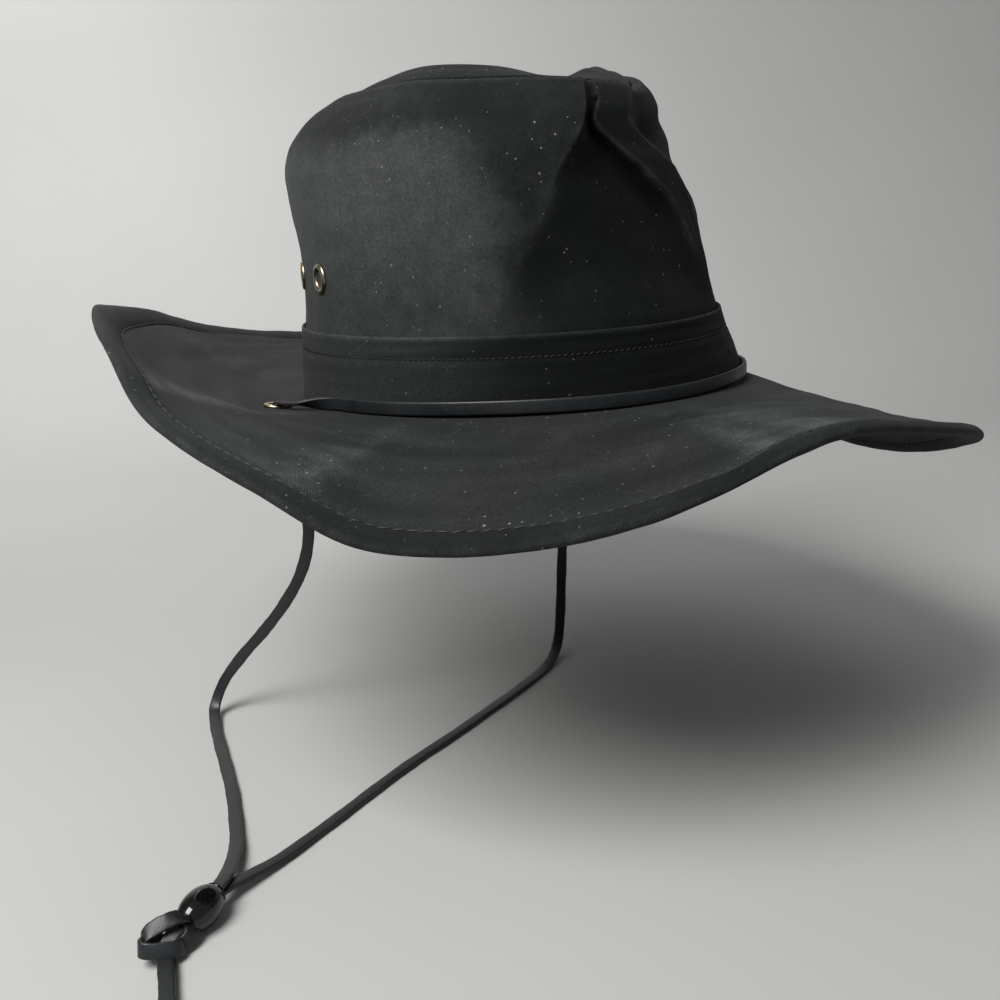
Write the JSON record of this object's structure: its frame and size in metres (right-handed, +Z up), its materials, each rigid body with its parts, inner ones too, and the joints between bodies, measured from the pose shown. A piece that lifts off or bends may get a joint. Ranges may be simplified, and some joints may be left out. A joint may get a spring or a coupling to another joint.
{
  "type": "bush hat",
  "caption": "Soft wide-brimmed bush hat of black waxed cotton, in the form it has on a head, with a pinched crown, brass eyelets and a leather chin cord with a sliding bead.",
  "frame": {"origin": "middle of the head opening, at the height where the crown meets the brim", "axes": "the wearer looks along -Y, the wearer's left side is +X, +Z goes up through the crown"},
  "size_m": [0.4133, 0.3879, 0.2801],
  "materials": {
    "cotton": "charcoal black waxed cotton twill, softly worn",
    "band_cotton": "charcoal black waxed cotton band, matt",
    "thong_leather": "flat slate-black leather thong, satin",
    "eyelet_brass": "dark antique brass, rubbed bright on the rim",
    "bead_gloss": "glossy black bead"
  },
  "bodies": {
    "root": {"crown_side": "cotton", "crown_tip": "cotton", "brim": "cotton", "brim_binding": "cotton", "hat_band": "band_cotton", "crown_lace": "thong_leather", "chin_cord_right": "thong_leather", "chin_cord_left": "thong_leather", "cord_knot": "thong_leather", "cord_tail_upper": "thong_leather", "cord_tail_lower": "thong_leather", "vent_eyelet_right_front": "eyelet_brass", "vent_eyelet_right_back": "eyelet_brass", "vent_eyelet_left_front": "eyelet_brass", "vent_eyelet_left_back": "eyelet_brass", "brim_eyelet_right": "eyelet_brass", "brim_eyelet_left": "eyelet_brass", "cord_bead": "bead_gloss"}
  },
  "joints": []
}
